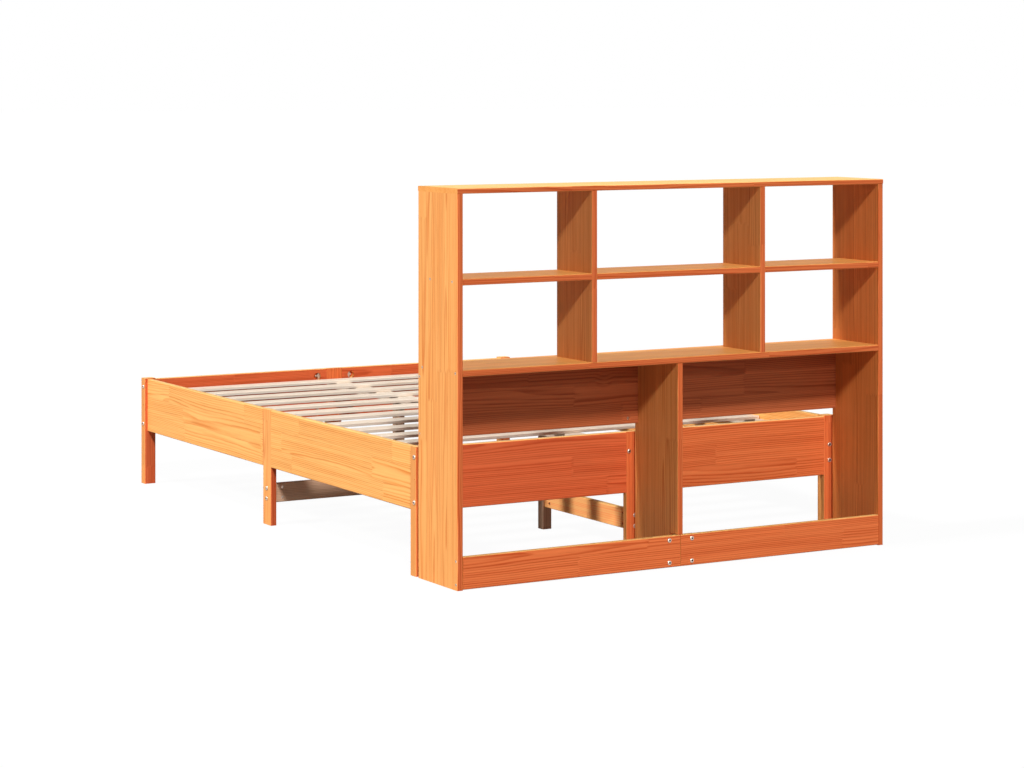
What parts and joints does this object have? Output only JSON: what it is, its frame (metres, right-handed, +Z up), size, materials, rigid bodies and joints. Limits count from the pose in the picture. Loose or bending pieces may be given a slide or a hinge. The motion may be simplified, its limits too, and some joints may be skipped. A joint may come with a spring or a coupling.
{
  "type": "bookcase headboard bed",
  "caption": "Double bed frame in pine with slats, bolted rails and legs, and a free-standing open bookcase headboard with cubbies and a deep shelf.",
  "frame": {"origin": "on the floor, under the middle of the whole bed's outline", "axes": "+X across the bed, towards the right of a person who stands behind the bookcase and looks towards the foot; +Y from the bookcase towards the foot; +Z up from the floor"},
  "size_m": [1.467, 2.291, 1.1],
  "materials": {
    "bookcase_pine": "satin lacquer",
    "frame_pine": "satin lacquer",
    "slat_pine": "planed, bare",
    "dowel_beech": "bare",
    "zinc_steel": "zinc plated"
  },
  "bodies": {
    "root": {"left_side_panel": "bookcase_pine", "right_side_panel": "bookcase_pine", "top_board": "bookcase_pine", "left_upper_divider": "bookcase_pine", "right_upper_divider": "bookcase_pine", "left_shelf": "bookcase_pine", "middle_shelf": "bookcase_pine", "right_shelf": "bookcase_pine", "main_shelf": "bookcase_pine", "lower_divider": "bookcase_pine", "left_headrest_panel": "bookcase_pine", "right_headrest_panel": "bookcase_pine", "left_kick_board": "bookcase_pine", "right_kick_board": "bookcase_pine", "kick_splice": "bookcase_pine", "head_left_leg": "frame_pine", "head_right_leg": "frame_pine", "foot_left_leg": "frame_pine", "foot_right_leg": "frame_pine", "left_mid_leg": "frame_pine", "right_mid_leg": "frame_pine", "head_centre_leg": "frame_pine", "foot_centre_leg": "frame_pine", "head_left_rail": "frame_pine", "head_right_rail": "frame_pine", "foot_left_rail": "frame_pine", "foot_right_rail": "frame_pine", "head_left_board": "frame_pine", "head_right_board": "frame_pine", "foot_left_board": "frame_pine", "foot_right_board": "frame_pine", "head_long_beam": "frame_pine", "foot_long_beam": "frame_pine", "slats": "slat_pine", "head_left_ledge": "slat_pine", "head_right_ledge": "slat_pine", "foot_left_ledge": "slat_pine", "foot_right_ledge": "slat_pine", "cross_beam": "slat_pine", "head_post": "slat_pine", "foot_post": "slat_pine", "centre_slat_support": "slat_pine", "shelf_dowels": "dowel_beech", "upright_dowels": "dowel_beech", "panel_screws": "zinc_steel", "kick_bolts": "zinc_steel", "kick_inserts": "zinc_steel", "headrest_studs": "zinc_steel", "leg_board_bolts": "zinc_steel", "leg_rail_bolts": "zinc_steel", "through_rods": "zinc_steel", "crescent_washers": "zinc_steel", "hexagon_nuts": "zinc_steel", "beam_bolts": "zinc_steel", "post_bolts": "zinc_steel", "barrel_nuts": "zinc_steel", "slat_screws": "zinc_steel", "ledge_screws": "zinc_steel", "post_screws": "zinc_steel"}
  },
  "joints": []
}
